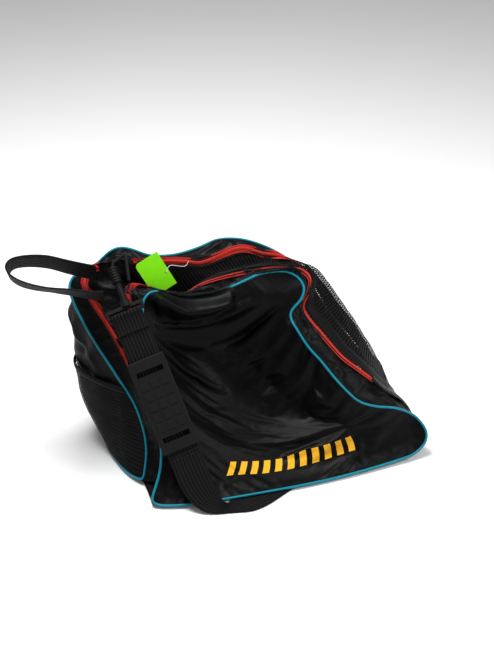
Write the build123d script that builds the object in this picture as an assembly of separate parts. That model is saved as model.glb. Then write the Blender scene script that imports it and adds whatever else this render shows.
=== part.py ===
"""Soft skate carry bag: slumped nylon body with two zips, mesh gusset, carry handle,
shoulder strap with pad and a snap hook, and a hang tag.  All sizes in millimetres.

Frame: X along the bag, the front panel faces -Y, Z up.  The origin is the middle of the
flat underside that the bag rests on.
"""
import os
from math import cos, pi, radians, sin

import numpy as np
from build123d import *

# ---------------------------------------------------------------- driving dimensions
CLOTH = 1.2            # panel cloth, two coats thick
PIPING_R = 2.0         # corded piping along the two big panels
SEAM = 2.7             # cloth stops this far from the middle of its piping
ZIP_GAP = 7.0          # cloth stops this far from the middle of a zip
TAPE_W = 17.0          # zip tape width that shows from inside
TAPE_T = 0.8
COIL_W = 5.0
COIL_T = 2.4
STRAP_W = 48.0         # shoulder strap webbing
STRAP_T = 1.6
HANDLE_W = 38.0        # carry handle webbing
HANDLE_T = 2.2
PAD_W = 58.0           # shoulder pad
PAD_L = 146.0
PAD_T = 5.0
PAD_SLOT_W = 42.0
PAD_SLOT_L = 8.0
TAG_W = 40.0
TAG_L = 60.0
TAG_T = 0.6
BASE_T = 2.0
FRONT_FOLD = 44.0      # how far the front panel has sunk in

# ---------------------------------------------------------------- lines of the slumped bag
# Each line runs in stretches: left end (up), top (left to right), right end (down).
FRONT_PIPING = {
    "left": [(-230, -126, 8), (-206, -97, 46), (-198, -70, 90), (-198, -50, 122), (-198, -8, 182),
             (-194, 28, 226), (-187, 50, 252)],
    "top": [(-187, 50, 252), (-172, 56, 260), (-150, 53, 257), (-123, 46, 248), (-100, 43, 247),
            (-69, 41, 250), (-35, 45, 257), (4, 54, 262), (42, 52, 260), (60, 42, 252)],
    "right": [(60, 42, 252), (65, 28, 241), (57, 18, 226), (40, 15, 210), (36, 6, 201),
              (40, -12, 191), (50, -36, 172), (63, -55, 157), (79, -78, 135), (93, -95, 119),
              (111, -106, 102), (138, -112, 91), (166, -116, 85), (193, -114, 68),
              (209, -118, 54), (218, -132, 38), (214, -141, 24)],
    "bottom": [(214, -141, 24), (200, -145, 13), (176, -149, 8), (75, -156, 5), (-20, -156, 5),
               (-160, -147, 5), (-214, -136, 5), (-230, -126, 8)],
}
FRONT_FLAP_FOLD = {
    "left": [(-212, -116, 10), (-200, -86, 50), (-199, -48, 110), (-202, -12, 160),
             (-202, 14, 195), (-200, 42, 236), (-196, 60, 261)],
    "top": [(-196, 60, 261), (-172, 66, 264), (-150, 62, 258), (-121, 55, 252), (-90, 55, 259),
            (-48, 54, 267), (2, 54, 270), (40, 53, 270), (66, 44, 262)],
    "right": [(66, 44, 262), (80, 34, 246), (74, 24, 232), (56, 14, 214), (58, -12, 196),
              (72, -34, 174), (86, -54, 158), (102, -74, 142), (124, -88, 122),
              (156, -98, 102), (198, -98, 68), (214, -102, 34), (206, -106, 8)],
}
FRONT_ZIP = {
    "left": [(-204, -108, 10), (-196, -80, 50), (-202, -40, 110), (-206, -4, 160),
             (-207, 22, 195), (-206, 54, 236), (-206, 72, 260)],
    "top": [(-206, 72, 260), (-194, 76, 266), (-177, 70, 262), (-150, 67, 241),
            (-120, 66, 240), (-90, 66, 254), (-48, 66, 261), (0, 66, 263), (44, 58, 263),
            (68, 48, 262)],
    "right": [(68, 48, 262), (79, 38, 250), (72, 26, 230), (60, 16, 212), (67, 2, 195),
              (78, -14, 182), (91, -33, 165), (104, -50, 150), (122, -65, 136),
              (139, -78, 123), (158, -88, 104), (192, -84, 72), (214, -80, 36),
              (214, -82, 8)],
}
GUSSET_MIDDLE = {
    "left": [(-196, -100, 10), (-190, -70, 50), (-204, -28, 110), (-212, 8, 160),
             (-216, 34, 195), (-222, 66, 236), (-230, 88, 260)],
    "top": [(-230, 88, 260), (-200, 92, 258), (-172, 88, 238), (-145, 84, 228),
            (-118, 80, 233), (-85, 76, 254), (-40, 77, 266), (0, 77, 269), (44, 68, 272),
            (86, 58, 261)],
    "right": [(86, 58, 261), (104, 58, 247), (113, 56, 232), (136, 50, 196),
              (160, 46, 156), (178, 38, 124), (206, 14, 66), (222, -10, 30), (226, -25, 8)],
}
BACK_ZIP = {
    "left": [(-204, -92, 10), (-198, -62, 50), (-212, -16, 110), (-223, 25, 160),
             (-234, 49, 195), (-255, 84, 236), (-266, 104, 262)],
    "top": [(-266, 104, 262), (-256, 113, 280), (-235, 112, 286), (-200, 104, 288),
            (-148, 93, 289), (-106, 90, 283), (-85, 90, 277), (-58, 90, 283),
            (-31, 92, 290), (-9, 90, 290), (16, 84, 280), (43, 72, 277), (76, 72, 255)],
    "right": [(76, 72, 255), (94, 80, 215), (120, 82, 165), (152, 80, 118), (184, 70, 72),
              (206, 56, 32), (212, 46, 8)],
}
BACK_STRIP_FOLD = {
    "left": [(-216, -84, 10), (-207, -55, 50), (-218, -8, 110), (-236, 32, 160),
             (-250, 56, 195), (-270, 92, 236), (-280, 110, 260)],
    "top": [(-280, 110, 260), (-269, 122, 275), (-238, 124, 284), (-205, 120, 296),
            (-150, 106, 291), (-110, 99, 289), (-85, 104, 293), (-42, 118, 301),
            (-25, 118, 301), (-7, 108, 297), (14, 93, 288), (43, 80, 277), (76, 92, 250)],
    "right": [(76, 92, 250), (100, 99, 205), (130, 101, 155), (162, 98, 108), (192, 88, 60),
              (207, 76, 26), (210, 68, 8)],
}
BACK_PIPING = {
    "left": [(-230, -76, 8), (-221, -60, 28), (-216, -48, 48), (-215, -31, 70),
             (-219, -14, 94), (-224, 0, 109), (-239, 21, 138), (-259, 49, 176),
             (-275, 74, 210), (-286, 98, 240), (-289, 111, 259)],
    "top": [(-289, 111, 259), (-280, 120, 270), (-262, 127, 276), (-240, 131, 280),
            (-221, 130, 297), (-203, 129, 304), (-182, 126, 298), (-158, 118, 288),
            (-120, 114, 285), (-80, 122, 286), (-42, 132, 290), (0, 128, 284),
            (40, 113, 268), (75, 112, 240)],
    "right": [(75, 112, 240), (108, 116, 185), (150, 118, 125), (188, 114, 60),
              (206, 106, 14)],
    "bottom": [(206, 106, 14), (198, 110, 6), (110, 116, 5), (0, 118, 5), (-110, 116, 5),
               (-205, 108, 5), (-250, 74, 5), (-262, 20, 5), (-248, -44, 5), (-230, -76, 8)],
}
# How the back panel bellies out between its piping, low to high.
BACK_BELLY = [
    [(-216, -31, 70), (-250, 6, 70), (-279, 50, 70), (-286, 88, 70), (-258, 122, 72),
     (-170, 136, 72), (-30, 141, 72), (100, 134, 70), (188, 116, 70)],
    [(-240, 23, 140), (-270, 50, 140), (-288, 80, 140), (-288, 108, 142), (-256, 134, 142),
     (-165, 147, 142), (-45, 150, 142), (70, 140, 140), (140, 118, 140)],
    [(-272, 70, 205), (-286, 90, 206), (-291, 106, 207), (-284, 126, 208), (-248, 143, 208),
     (-160, 152, 208), (-60, 153, 208), (30, 138, 206), (97, 115, 205)],
]
# The shoulder strap: flat run down the left corner, a twist onto the floor, then a run
# under the front edge and the right end.
STRAP_TOP = np.array((-217.0, 33.0, 244.0))
STRAP_DIR = (0.2, -0.62, -0.757)
STRAP_SIDE = (0.944, -0.084, 0.318)
STRAP_RUN = 235.0
FOLD_L = 30.0          # webbing folded back over the hook's bar and sewn
PAD_CENTRE = 146.0     # down the strap from its top
STRAP_OUTER = [(-188, -131, 38), (-178, -150, 18), (-161, -166, 5), (-142, -174, 1.2), (-121, -178, 1.2),
               (-88, -184, 1.2), (-62, -178, 1.2), (-40, -168, 1.2), (-8, -154, 1.2), (50, -143, 1.2),
               (128, -132, 1.2), (182, -104, 1.2), (204, -62, 1.2)]
STRAP_INNER = [(-141, -134, 52), (-136, -150, 31), (-128, -162, 14), (-117, -159, 4.8), (-104, -142, 1.4),
               (-88, -134, 1.2), (-72, -129, 1.2), (-57, -121, 1.2), (-28, -108, 1.2), (42, -94, 1.2),
               (112, -85, 1.2), (144, -70, 1.2), (160, -42, 1.2)]
HOOK_DIR = (-0.13, 0.79, 0.60)
SWIVEL_X = 4.0         # the swivel sits a little off the middle of the hook's frame
# Carry handle: middle line from the near leg round the loop to the far leg, and the
# direction of the webbing's width along it.
HANDLE_LINE = [(-244, 62, 263), (-258, 62, 266), (-288, 67, 274), (-318, 70, 282), (-347, 74, 291),
               (-368, 80, 301), (-378, 90, 312), (-370, 98, 320), (-348, 101, 320), (-318, 102, 313),
               (-290, 101, 305), (-264, 99, 298), (-248, 97, 295)]
HANDLE_SIDE = [(-0.1, -0.62, 0.78), (-0.15, -0.66, 0.74), (-0.2, -0.72, 0.66), (-0.22, -0.72, 0.66),
               (-0.2, -0.68, 0.70), (-0.12, -0.60, 0.79), (-0.10, -0.50, 0.86), (-0.12, -0.44, 0.89),
               (-0.14, -0.42, 0.90), (-0.14, -0.42, 0.90), (-0.12, -0.42, 0.90), (-0.10, -0.44, 0.89),
               (-0.10, -0.46, 0.88)]
TAG_FOOT = (-146.0, 71.0, 250.5)
TAG_UP = (-0.40, 0.20, 0.80)
TAG_SIDE = (0.92, 0.03, 0.30)
SLIDER_X = {"front": -22.0, "back": -173.0}


def unit(v):
    v = np.asarray(v, float)
    return v / np.linalg.norm(v)


def spline(points, n):
    """n points evenly spaced along a smooth line through the given points."""
    p = np.asarray(points, float)
    q = np.vstack([2 * p[0] - p[1], p, 2 * p[-1] - p[-2]])
    dense = []
    for i in range(1, len(q) - 2):
        for t in np.linspace(0, 1, 12, endpoint=False):
            a, b, c, d = q[i - 1:i + 3]
            dense.append(0.5 * (2 * b + (c - a) * t + (2 * a - 5 * b + 4 * c - d) * t ** 2
                                + (3 * b - a - 3 * c + d) * t ** 3))
    dense.append(p[-1])
    dense = np.array(dense)
    run = np.concatenate([[0], np.cumsum(np.linalg.norm(np.diff(dense, axis=0), axis=1))])
    want = np.linspace(0, run[-1], n)
    return np.stack([np.interp(want, run, dense[:, k]) for k in range(3)], 1)


def length(points):
    return float(np.linalg.norm(np.diff(np.asarray(points, float), axis=0), axis=1).sum())


PER_STRETCH = {"left": 14, "top": 24, "right": 24}


def around(line):
    """One line of the gusset from bottom left over the top to bottom right."""
    out = [spline(line[k], PER_STRETCH[k] + 1)[:-1] for k in ("left", "top")]
    out.append(spline(line["right"], PER_STRETCH["right"] + 1))
    return np.vstack(out)


def part_of_run(rows, start, end):
    """Cut rows of a gusset grid between two stations; 1 and 2 are the bag's shoulders."""
    marks = np.concatenate([np.linspace(k, k + 1, n + 1)[:-1] for k, n in enumerate(PER_STRETCH.values())] + [[3]])
    n = max(3, int(round((end - start) * 22)) + 1)
    want = np.linspace(start, end, n)
    return [np.stack([np.interp(want, marks, r[:, k]) for k in range(3)], 1) for r in rows]


def strip_grid(rows, gap_a, gap_b, across=5):
    """Grid between the first and last of three rows, bowed through the middle one."""
    grid = []
    for a, m, b in zip(*rows):
        line = spline([a, m, b], 25)
        total = length(line)
        steps = np.linspace(gap_a / total, 1 - gap_b / total, across)
        at = np.linspace(0, 1, 25)
        grid.append([[np.interp(s, at, line[:, k]) for k in range(3)] for s in steps])
    return np.array(grid)


def solid_of(faces):
    return Solid(Shell([Face(Wire.make_polygon([Vector(*c) for c in f])) for f in faces]))


def sheet(grid, thick, lift=0.0):
    """Closed solid: a faceted sheet through a grid of points, of even thickness."""
    p = np.asarray(grid, float)
    normal = np.cross(np.gradient(p, axis=0), np.gradient(p, axis=1))
    normal /= np.linalg.norm(normal, axis=2)[..., None]
    low = p + normal * (lift - thick / 2)
    high = p + normal * (lift + thick / 2)
    nu, nv = p.shape[:2]
    faces = []
    for q in (low, high):
        for i in range(nu - 1):
            for j in range(nv - 1):
                faces.append([q[i, j], q[i + 1, j], q[i + 1, j + 1]])
                faces.append([q[i, j], q[i + 1, j + 1], q[i, j + 1]])
    rim = [(i, 0) for i in range(nu)] + [(nu - 1, j) for j in range(1, nv)]
    rim += [(i, nv - 1) for i in range(nu - 2, -1, -1)] + [(0, j) for j in range(nv - 2, 0, -1)]
    for a, b in zip(rim, rim[1:] + rim[:1]):
        faces.append([low[a], low[b], high[b]])
        faces.append([low[a], high[b], high[a]])
    return solid_of(faces)


def ribbon_grid(line, side, width, across=3):
    """Grid of a flat ribbon of the given width along a line."""
    steps = np.linspace(-width / 2, width / 2, across)
    return np.array([[p + unit(s) * w for w in steps] for p, s in zip(line, side)])


def cord(line, radius, closed=False, sides=8):
    """Faceted round cord along a line, or right round a closed loop."""
    line = np.asarray(line, float)
    n = len(line)
    if closed:
        run = [line[(i + 1) % n] - line[i - 1] for i in range(n)]
    else:
        run = list(np.gradient(line, axis=0))
    up = unit(np.cross(run[0], (0.31, 0.52, 0.8)))
    ups = []
    for r in run:
        up = unit(up - unit(r) * np.dot(up, unit(r)))
        ups.append(up)
    if closed:
        a = unit(ups[-1] - unit(run[0]) * np.dot(ups[-1], unit(run[0])))
        twist = np.arctan2(np.dot(np.cross(a, ups[0]), unit(run[0])), np.dot(a, ups[0]))
    else:
        twist = 0.0
    rings = []
    for i, (p, r, w) in enumerate(zip(line, run, ups)):
        v = np.cross(unit(r), w)
        turn = twist * i / n
        rings.append([p + radius * (w * cos(turn + 2 * pi * k / sides) + v * sin(turn + 2 * pi * k / sides))
                      for k in range(sides)])
    faces = []
    for i in range(n if closed else n - 1):
        a, b = rings[i], rings[(i + 1) % n]
        for k in range(sides):
            m = (k + 1) % sides
            faces.append([a[k], a[m], b[m]])
            faces.append([a[k], b[m], b[k]])
    if not closed:
        faces.append(rings[0])
        faces.append(rings[-1])
    return solid_of(faces)


def piping(line, radius):
    """A closed cord through the four stretches of a panel's outline."""
    counts = {"left": 14, "top": 18, "right": 26, "bottom": 14}
    loop = [spline(line[k], counts[k] + 1)[:-1] for k in ("left", "top", "right", "bottom")]
    return cord(np.vstack(loop), radius, closed=True)


def bar(a, b, r):
    """Round bar between two points."""
    a, b = np.asarray(a, float), np.asarray(b, float)
    pl = Plane(origin=Vector(*a), z_dir=Vector(*(b - a)))
    return extrude(pl * Circle(r), amount=float(np.linalg.norm(b - a)))


def frame_at(origin, along, side):
    """Plane with its X along `side` and its Y along `along`; Z is square to both."""
    along = unit(along)
    side = unit(np.asarray(side, float) - along * np.dot(side, along))
    normal = np.cross(side, along)
    return Plane(origin=Vector(*origin), x_dir=Vector(*side), z_dir=Vector(*normal))


def box_in(plane, centre, size, fillet_r=0.0):
    b = Box(*size)
    if fillet_r:
        b = fillet(b.edges(), fillet_r)
    return plane * (Pos(*centre) * b)


NODES = {}


def keep(name, shape):
    NODES[name] = shape


# ---------------------------------------------------------------- gusset
FP, FF, FZ = around(FRONT_PIPING), around(FRONT_FLAP_FOLD), around(FRONT_ZIP)
GM = around(GUSSET_MIDDLE)
BZ, BF, BP = around(BACK_ZIP), around(BACK_STRIP_FOLD), around(BACK_PIPING)

keep("front_strip", sheet(strip_grid([FP, FF, FZ], SEAM, ZIP_GAP), CLOTH))
keep("back_strip", sheet(strip_grid([BZ, BF, BP], ZIP_GAP, SEAM), CLOTH))
PATCH_END = 1.16       # left nylon patch ends here
MESH_END = 2.72        # right nylon patch begins here
keep("left_end_patch", sheet(strip_grid(part_of_run([FZ, GM, BZ], 0.0, PATCH_END), ZIP_GAP, ZIP_GAP), CLOTH))
keep("mesh_band", sheet(strip_grid(part_of_run([FZ, GM, BZ], PATCH_END + 0.008, MESH_END), ZIP_GAP, ZIP_GAP), CLOTH))
keep("right_end_patch",
     sheet(strip_grid(part_of_run([FZ, GM, BZ], MESH_END + 0.008, 3.0), ZIP_GAP, ZIP_GAP), CLOTH))

# ---------------------------------------------------------------- zips
def zip_line(rows, start, end):
    before, line, after = part_of_run(rows, start, end)
    side = after - before
    run = np.gradient(line, axis=0)
    side = np.array([s - unit(r) * np.dot(s, unit(r)) for s, r in zip(side, run)])
    return line, side


ZIPS = {"front": ([FF, FZ, GM], 0.10, 2.62), "back": ([GM, BZ, BF], 0.10, 2.92)}
end_line, end_side = zip_line([FF, FZ, GM], 2.64, 2.985)
keep("zip_end_cover", sheet(ribbon_grid(end_line, end_side, 15), 1.6, lift=0.2))
for which, (rows, start, end) in ZIPS.items():
    line, side = zip_line(rows, start, end)
    keep(which + "_zip_tape", sheet(ribbon_grid(line, side, TAPE_W), TAPE_T, lift=-1.25))
    keep(which + "_zip_coil", sheet(ribbon_grid(line, side, COIL_W), COIL_T, lift=0.6))
    stops = []
    for at in (2, len(line) - 3):
        pl = frame_at(line[at], line[at + 1] - line[at - 1], side[at])
        stops.append(box_in(pl, (0, 0, 3.6), (7, 4, 2.8), 0.8))
    keep(which + "_zip_stops", Compound(children=stops))

# ---------------------------------------------------------------- big panels
def edges_of(line, n_side, n_long):
    low = spline(line["bottom"], n_long)[::-1]
    return low, spline(line["top"], n_long), spline(line["left"], n_side), spline(line["right"], n_side)[::-1]


def inset(n, gap, total):
    return np.linspace(gap / total, 1 - gap / total, n)


def sample(line, s):
    at = np.linspace(0, 1, len(line))
    return np.array([np.interp(s, at, line[:, k]) for k in range(3)])


LOW, TOP, LEFT, RIGHT = edges_of(FRONT_PIPING, 60, 80)
US = inset(27, SEAM, 420)
VS = inset(17, SEAM, 340)
INWARD = unit((0.0, 0.785, -0.62))


def front_point(u, v):
    p = ((1 - v) * sample(LOW, u) + v * sample(TOP, u) + (1 - u) * sample(LEFT, v) + u * sample(RIGHT, v)
         - (1 - u) * (1 - v) * LOW[0] - u * (1 - v) * LOW[-1] - (1 - u) * v * TOP[0] - u * v * TOP[-1])
    hollow = FRONT_FOLD * np.exp(-((u - 0.56) / 0.30) ** 2 - ((v - 0.68) / 0.22) ** 2)
    crease = 12.0 * np.exp(-((u - 0.80 - 0.25 * (0.5 - v)) / 0.07) ** 2 - ((v - 0.5) / 0.25) ** 2)
    edge = min(1.0, 9 * u) * min(1.0, 9 * (1 - u)) * min(1.0, 8 * v) * min(1.0, 8 * (1 - v))
    return p + INWARD * (hollow + crease) * edge


keep("front_panel", sheet([[front_point(u, v) for v in VS] for u in US], CLOTH))

LOW_B, TOP_B, LEFT_B, RIGHT_B = edges_of(BACK_PIPING, 60, 80)
BELLY = [spline(r, 80) for r in BACK_BELLY]


def back_point(u, v, out=0.0):
    rows = [sample(LOW_B, u)] + [sample(r, u) for r in BELLY] + [sample(TOP_B, u)]
    p = spline(rows, 41)
    p = np.array([np.interp(v, np.linspace(0, 1, 41), p[:, k]) for k in range(3)])
    return p


def back_grid(us, vs):
    grid = np.array([[back_point(u, v) for v in vs] for u in us])
    left = np.array([[back_point(0.0, v) for v in vs]])[0]
    right = np.array([[back_point(1.0, v) for v in vs]])[0]
    for j, v in enumerate(vs):
        to_left = sample(LEFT_B, v) - left[j]
        to_right = sample(RIGHT_B, v) - right[j]
        for i, u in enumerate(us):
            grid[i, j] += to_left * max(0.0, 1 - 4 * u) ** 2 + to_right * max(0.0, 4 * u - 3) ** 2
    return grid


keep("back_panel", sheet(back_grid(inset(36, SEAM, 480), inset(16, SEAM, 300)), CLOTH))
keep("pocket_mesh", sheet(back_grid(np.linspace(0.012, 0.52, 22), np.linspace(0.03, 0.42, 8)), 0.8, lift=-1.8))
keep("pocket_hem", sheet(back_grid(np.linspace(0.012, 0.52, 22), np.linspace(0.428, 0.462, 3)), 1.6, lift=-2.2))

# The underside: flat, but lifted a little at the front and right where the strap runs.
BASE_EDGE_FRONT = [(-228, -126), (-214, -133), (-160, -144), (-20, -152), (75, -152), (170, -144), (200, -138)]
BASE_EDGE_BACK = [(-256, 30), (-244, 74), (-198, 106), (0, 114), (110, 112), (196, 108), (210, 100)]


def base_point(u, v):
    low = spline([(x, y, 0) for x, y in BASE_EDGE_FRONT], 40)
    high = spline([(x, y, 0) for x, y in BASE_EDGE_BACK], 40)
    p = (1 - v) * sample(low, u) + v * sample(high, u)
    p[0] += 14 * u ** 6 * sin(pi * v) + 10 * (1 - u) ** 6 * sin(pi * v)
    rise = max(np.clip((-66 - p[1]) / 10.0, 0, 1), np.clip((p[0] - 106) / 12.0, 0, 1))
    p[2] = BASE_T / 2 + 2.6 * float(rise)
    return p


keep("base_panel", sheet([[base_point(u, v) for v in np.linspace(0, 1, 16)] for u in np.linspace(0, 1, 24)], BASE_T))

keep("front_piping", piping(FRONT_PIPING, PIPING_R))
keep("back_piping", piping(BACK_PIPING, PIPING_R))

# ---------------------------------------------------------------- carry handle
handle_line = spline(HANDLE_LINE, 40)
handle_side = [unit(v) for v in spline(HANDLE_SIDE, 40)]
keep("carry_handle", sheet(ribbon_grid(handle_line, handle_side, HANDLE_W), HANDLE_T))

# ---------------------------------------------------------------- shoulder strap
D = unit(STRAP_DIR)
W = unit(np.asarray(STRAP_SIDE) - D * np.dot(STRAP_SIDE, D))
IN = np.cross(W, D)
STRAP = frame_at(STRAP_TOP, D, W)      # X across, Y down the strap, Z into the bag


def on_strap(y, z, x=0.0):
    return STRAP_TOP + W * x + D * y + IN * z


straight = [(on_strap(y, 0, -STRAP_W / 2), on_strap(y, 0, STRAP_W / 2)) for y in (13.5, 60, 120, 180, STRAP_RUN)]
outer = spline([p[0] for p in straight[-2:]] + STRAP_OUTER, 46)
inner = spline([p[1] for p in straight[-2:]] + STRAP_INNER, 46)
rows = [list(p) for p in straight[:-2]] + [list(p) for p in zip(outer, inner)]
keep("shoulder_strap", sheet([[a + (b - a) * t for t in (0, 0.5, 1)] for a, b in rows], STRAP_T))
fold = [(FOLD_L, -2.0), (16, -2.1), (7, -3.0), (2.2, -4.6), (-2.2, -4.0), (-3.6, -1.1), (-2.4, 1.5), (1.2, 2.5),
        (5.0, 1.6), (9.0, 0.5), (13.2, 0.0)]
fold = spline([(0, y, z) for y, z in fold], 24)
keep("strap_fold", sheet([[on_strap(p[1], p[2], x) for x in (-STRAP_W / 2, 0, STRAP_W / 2)] for p in fold], STRAP_T))

# ---------------------------------------------------------------- shoulder pad
top = -(STRAP_T / 2 + 0.5)
pad = box_in(STRAP, (0, PAD_CENTRE, top - PAD_T / 2), (PAD_W, PAD_L, PAD_T), 2.0)
for end in (-1, 1):
    y = PAD_CENTRE + end * (PAD_L / 2 - 21)
    pad -= box_in(STRAP, (0, y, top - PAD_T / 2), (PAD_SLOT_W, PAD_SLOT_L, PAD_T + 2))
    y = PAD_CENTRE + end * (PAD_L / 2 - 9)
    keeper = box_in(STRAP, (0, y, 0.0), (PAD_W - 4, 12, 2 * (1.7 - top)), 0)
    keeper -= box_in(STRAP, (0, y, 0.0), (STRAP_W + 1.4, 14, -2 * top))
    keeper -= box_in(STRAP, (0, y, top - PAD_T), (PAD_W, 14, 2 * PAD_T - 1))
    pad += keeper
for i in range(5):
    for j in range(3):
        pad += box_in(STRAP, ((j - 1) * 16.0, PAD_CENTRE + (i - 2) * 16.5, top - PAD_T - 0.1), (12, 12.5, 1.2), 0.4)
keep("shoulder_pad", pad.solid())

# ---------------------------------------------------------------- snap hook on the strap
HOOK = frame_at(on_strap(0, -1.1), HOOK_DIR, W)    # X across, Y to the hook's nose, Z outward


def in_hook(x, y, z=0.0):
    v = HOOK.from_local_coords(Vector(x, y, z))
    return (v.X, v.Y, v.Z)


def along_hook(r, y0, y1):
    return Plane(origin=Vector(*in_hook(SWIVEL_X, y0)), z_dir=HOOK.y_dir) * extrude(Circle(r), amount=y1 - y0)


hook_frame = bar(in_hook(-28, 0), in_hook(28, 0), 1.8)
for side in (-1, 1):
    hook_frame += box_in(HOOK, (side * 27.8, 4.5, 0), (4.0, 13, 5), 0.8)
hook_frame += box_in(HOOK, (0, 9, 0), (59.4, 6, 6), 1.0)
hook_frame += along_hook(7.5, 9, 20)
hook_frame -= along_hook(3.15, 10, 21)
keep("hook_frame", hook_frame.solid())

hook = along_hook(3.0, 10.6, 21) + along_hook(4.8, 20.5, 54)
for k in range(6):
    hook += along_hook(8.0, 50 + 4.4 * k, 52.9 + 4.4 * k)
hook += along_hook(7.0, 50, 75)
bends = [(4, 73), (8, 82), (31, 89), (21.5, 48)]
for a, b in zip(bends, bends[1:]):
    hook += bar(in_hook(*a), in_hook(*b), 2.8)
for b in bends[1:]:
    hook += Pos(*in_hook(*b)) * Sphere(2.8)
keep("snap_hook", hook.solid())
GATE_PIVOT = (12.4, 32.0)
gate = bar(in_hook(*GATE_PIVOT, -3), in_hook(*GATE_PIVOT, 3), 2.4)
gate += bar(in_hook(*GATE_PIVOT), in_hook(20.4, 41.5), 1.9)
gate += bar(in_hook(*GATE_PIVOT), in_hook(19.5, 24.0), 1.7)
keep("hook_gate", gate.solid())

# ---------------------------------------------------------------- D-ring and its tab
RING_AT = np.array((-220.0, 34.0, 203.0))
RING_OUT = unit((-0.62, -0.68, 0.38))
RING_UP = unit(np.array((-0.2, 0.5, 0.84)) - RING_OUT * np.dot((-0.2, 0.5, 0.84), RING_OUT))
RING_SIDE = np.cross(RING_UP, RING_OUT)


def on_end(x, y, z):
    return RING_AT + RING_SIDE * x + RING_UP * y + RING_OUT * z


arc = [on_end(14 * cos(t), -20 * sin(t), 4) for t in np.linspace(0, pi, 17)]
loop = [on_end(x, 0, 4) for x in np.linspace(-14, 14, 9)[1:-1]] + arc
keep("d_ring", cord(loop, 1.9, closed=True))
tab = [(14, 1.2), (6, 1.0), (1.6, 0.6), (-2.2, 1.6), (-3.7, 4.2), (-2.2, 6.9), (1.6, 7.5), (6, 5.6), (14, 3.2)]
tab = spline([(0, y, z) for y, z in tab], 22)
keep("d_ring_tab", sheet([[on_end(x, p[1], p[2]) for x in (-9, 0, 9)] for p in tab], 1.2))

# ---------------------------------------------------------------- zip sliders and pulls
for which, (rows, start, end) in ZIPS.items():
    line, side = zip_line(rows, start, end)
    on_top = [i for i in range(len(line)) if line[i][2] > 230 and abs(line[i][0] - SLIDER_X[which]) < 30]
    i = min(on_top, key=lambda k: abs(line[k][0] - SLIDER_X[which]))
    t = unit(line[i + 1] - line[i - 1])
    pl = frame_at(line[i], t, -side[i])
    flip = 1 if pl.z_dir.Z > 0 else -1
    pl = pl if flip == 1 else frame_at(line[i], t, side[i])
    body = box_in(pl, (0, 0, 3.6), (9, 13, 2.0), 0.8)
    for k in (-1, 1):
        body += box_in(pl, (k * 3.7, 0, 2.3), (1.2, 11, 2.6), 0.4)
        body += box_in(pl, (k * 4.0, -3.5, 6.1), (1.4, 3.4, 5.0), 0.4)
    at = pl.from_local_coords(Vector(0, -3.5, 7.0))
    side_v = np.array((pl.x_dir.X, pl.x_dir.Y, pl.x_dir.Z))
    mid = np.array((at.X, at.Y, at.Z))
    body += bar(mid - side_v * 4, mid + side_v * 4, 0.8)
    keep(which + "_slider", body.solid())
    pull = box_in(pl, (0, 8.5, 7.2), (5.0, 27, 1.6), 0.6) + bar(mid - side_v * 2.4, mid + side_v * 2.4, 2.0)
    pull -= bar(mid - side_v * 4, mid + side_v * 4, 1.15)
    keep(which + "_pull", pull.solid())

# ---------------------------------------------------------------- hang tag
tag_up = unit(TAG_UP)
TAG = frame_at(TAG_FOOT, tag_up, TAG_SIDE)
outline = [(-TAG_W / 2, 14), (-TAG_W / 2 + 14, 0), (TAG_W / 2, 0), (TAG_W / 2, TAG_L)]
outline += [(-TAG_W / 2 + 4, TAG_L), (-TAG_W / 2, TAG_L - 4)]
card = TAG * (Pos(0, 0, -TAG_T / 2) * extrude(make_face(Polyline(*outline, close=True)), amount=TAG_T))
hole = TAG * (Pos(TAG_W / 2 - 5, 24, -2) * Cylinder(1.6, 8))
keep("hang_tag", (card - hole).solid())
p0 = TAG.from_local_coords(Vector(TAG_W / 2 - 5, 24, 0))
q0 = np.array((p0.X, p0.Y, p0.Z))
N = np.array((TAG.z_dir.X, TAG.z_dir.Y, TAG.z_dir.Z))
fastener = [q0 - N * 3, q0 + N * 0.1, q0 + N * 2.5, q0 + (6, 2, 9), (-112, 82, 277), (-104, 86, 286.5)]
keep("tag_fastener", cord(spline(fastener, 18), 0.6, sides=6))
os.makedirs("parts", exist_ok=True)
for name, shape in NODES.items():
    export_step(shape, "parts/" + name + ".step")
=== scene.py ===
"""Looks of the skate bag: sewn nylon panels, ribbed mesh, piping, zips and webbing around the CAD frame.
Lines are in millimetres in the row frame and turned to metres when meshes are made."""
from math import cos, exp, pi, radians, sin

import bpy
import numpy as np
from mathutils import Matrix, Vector, noise


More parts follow.
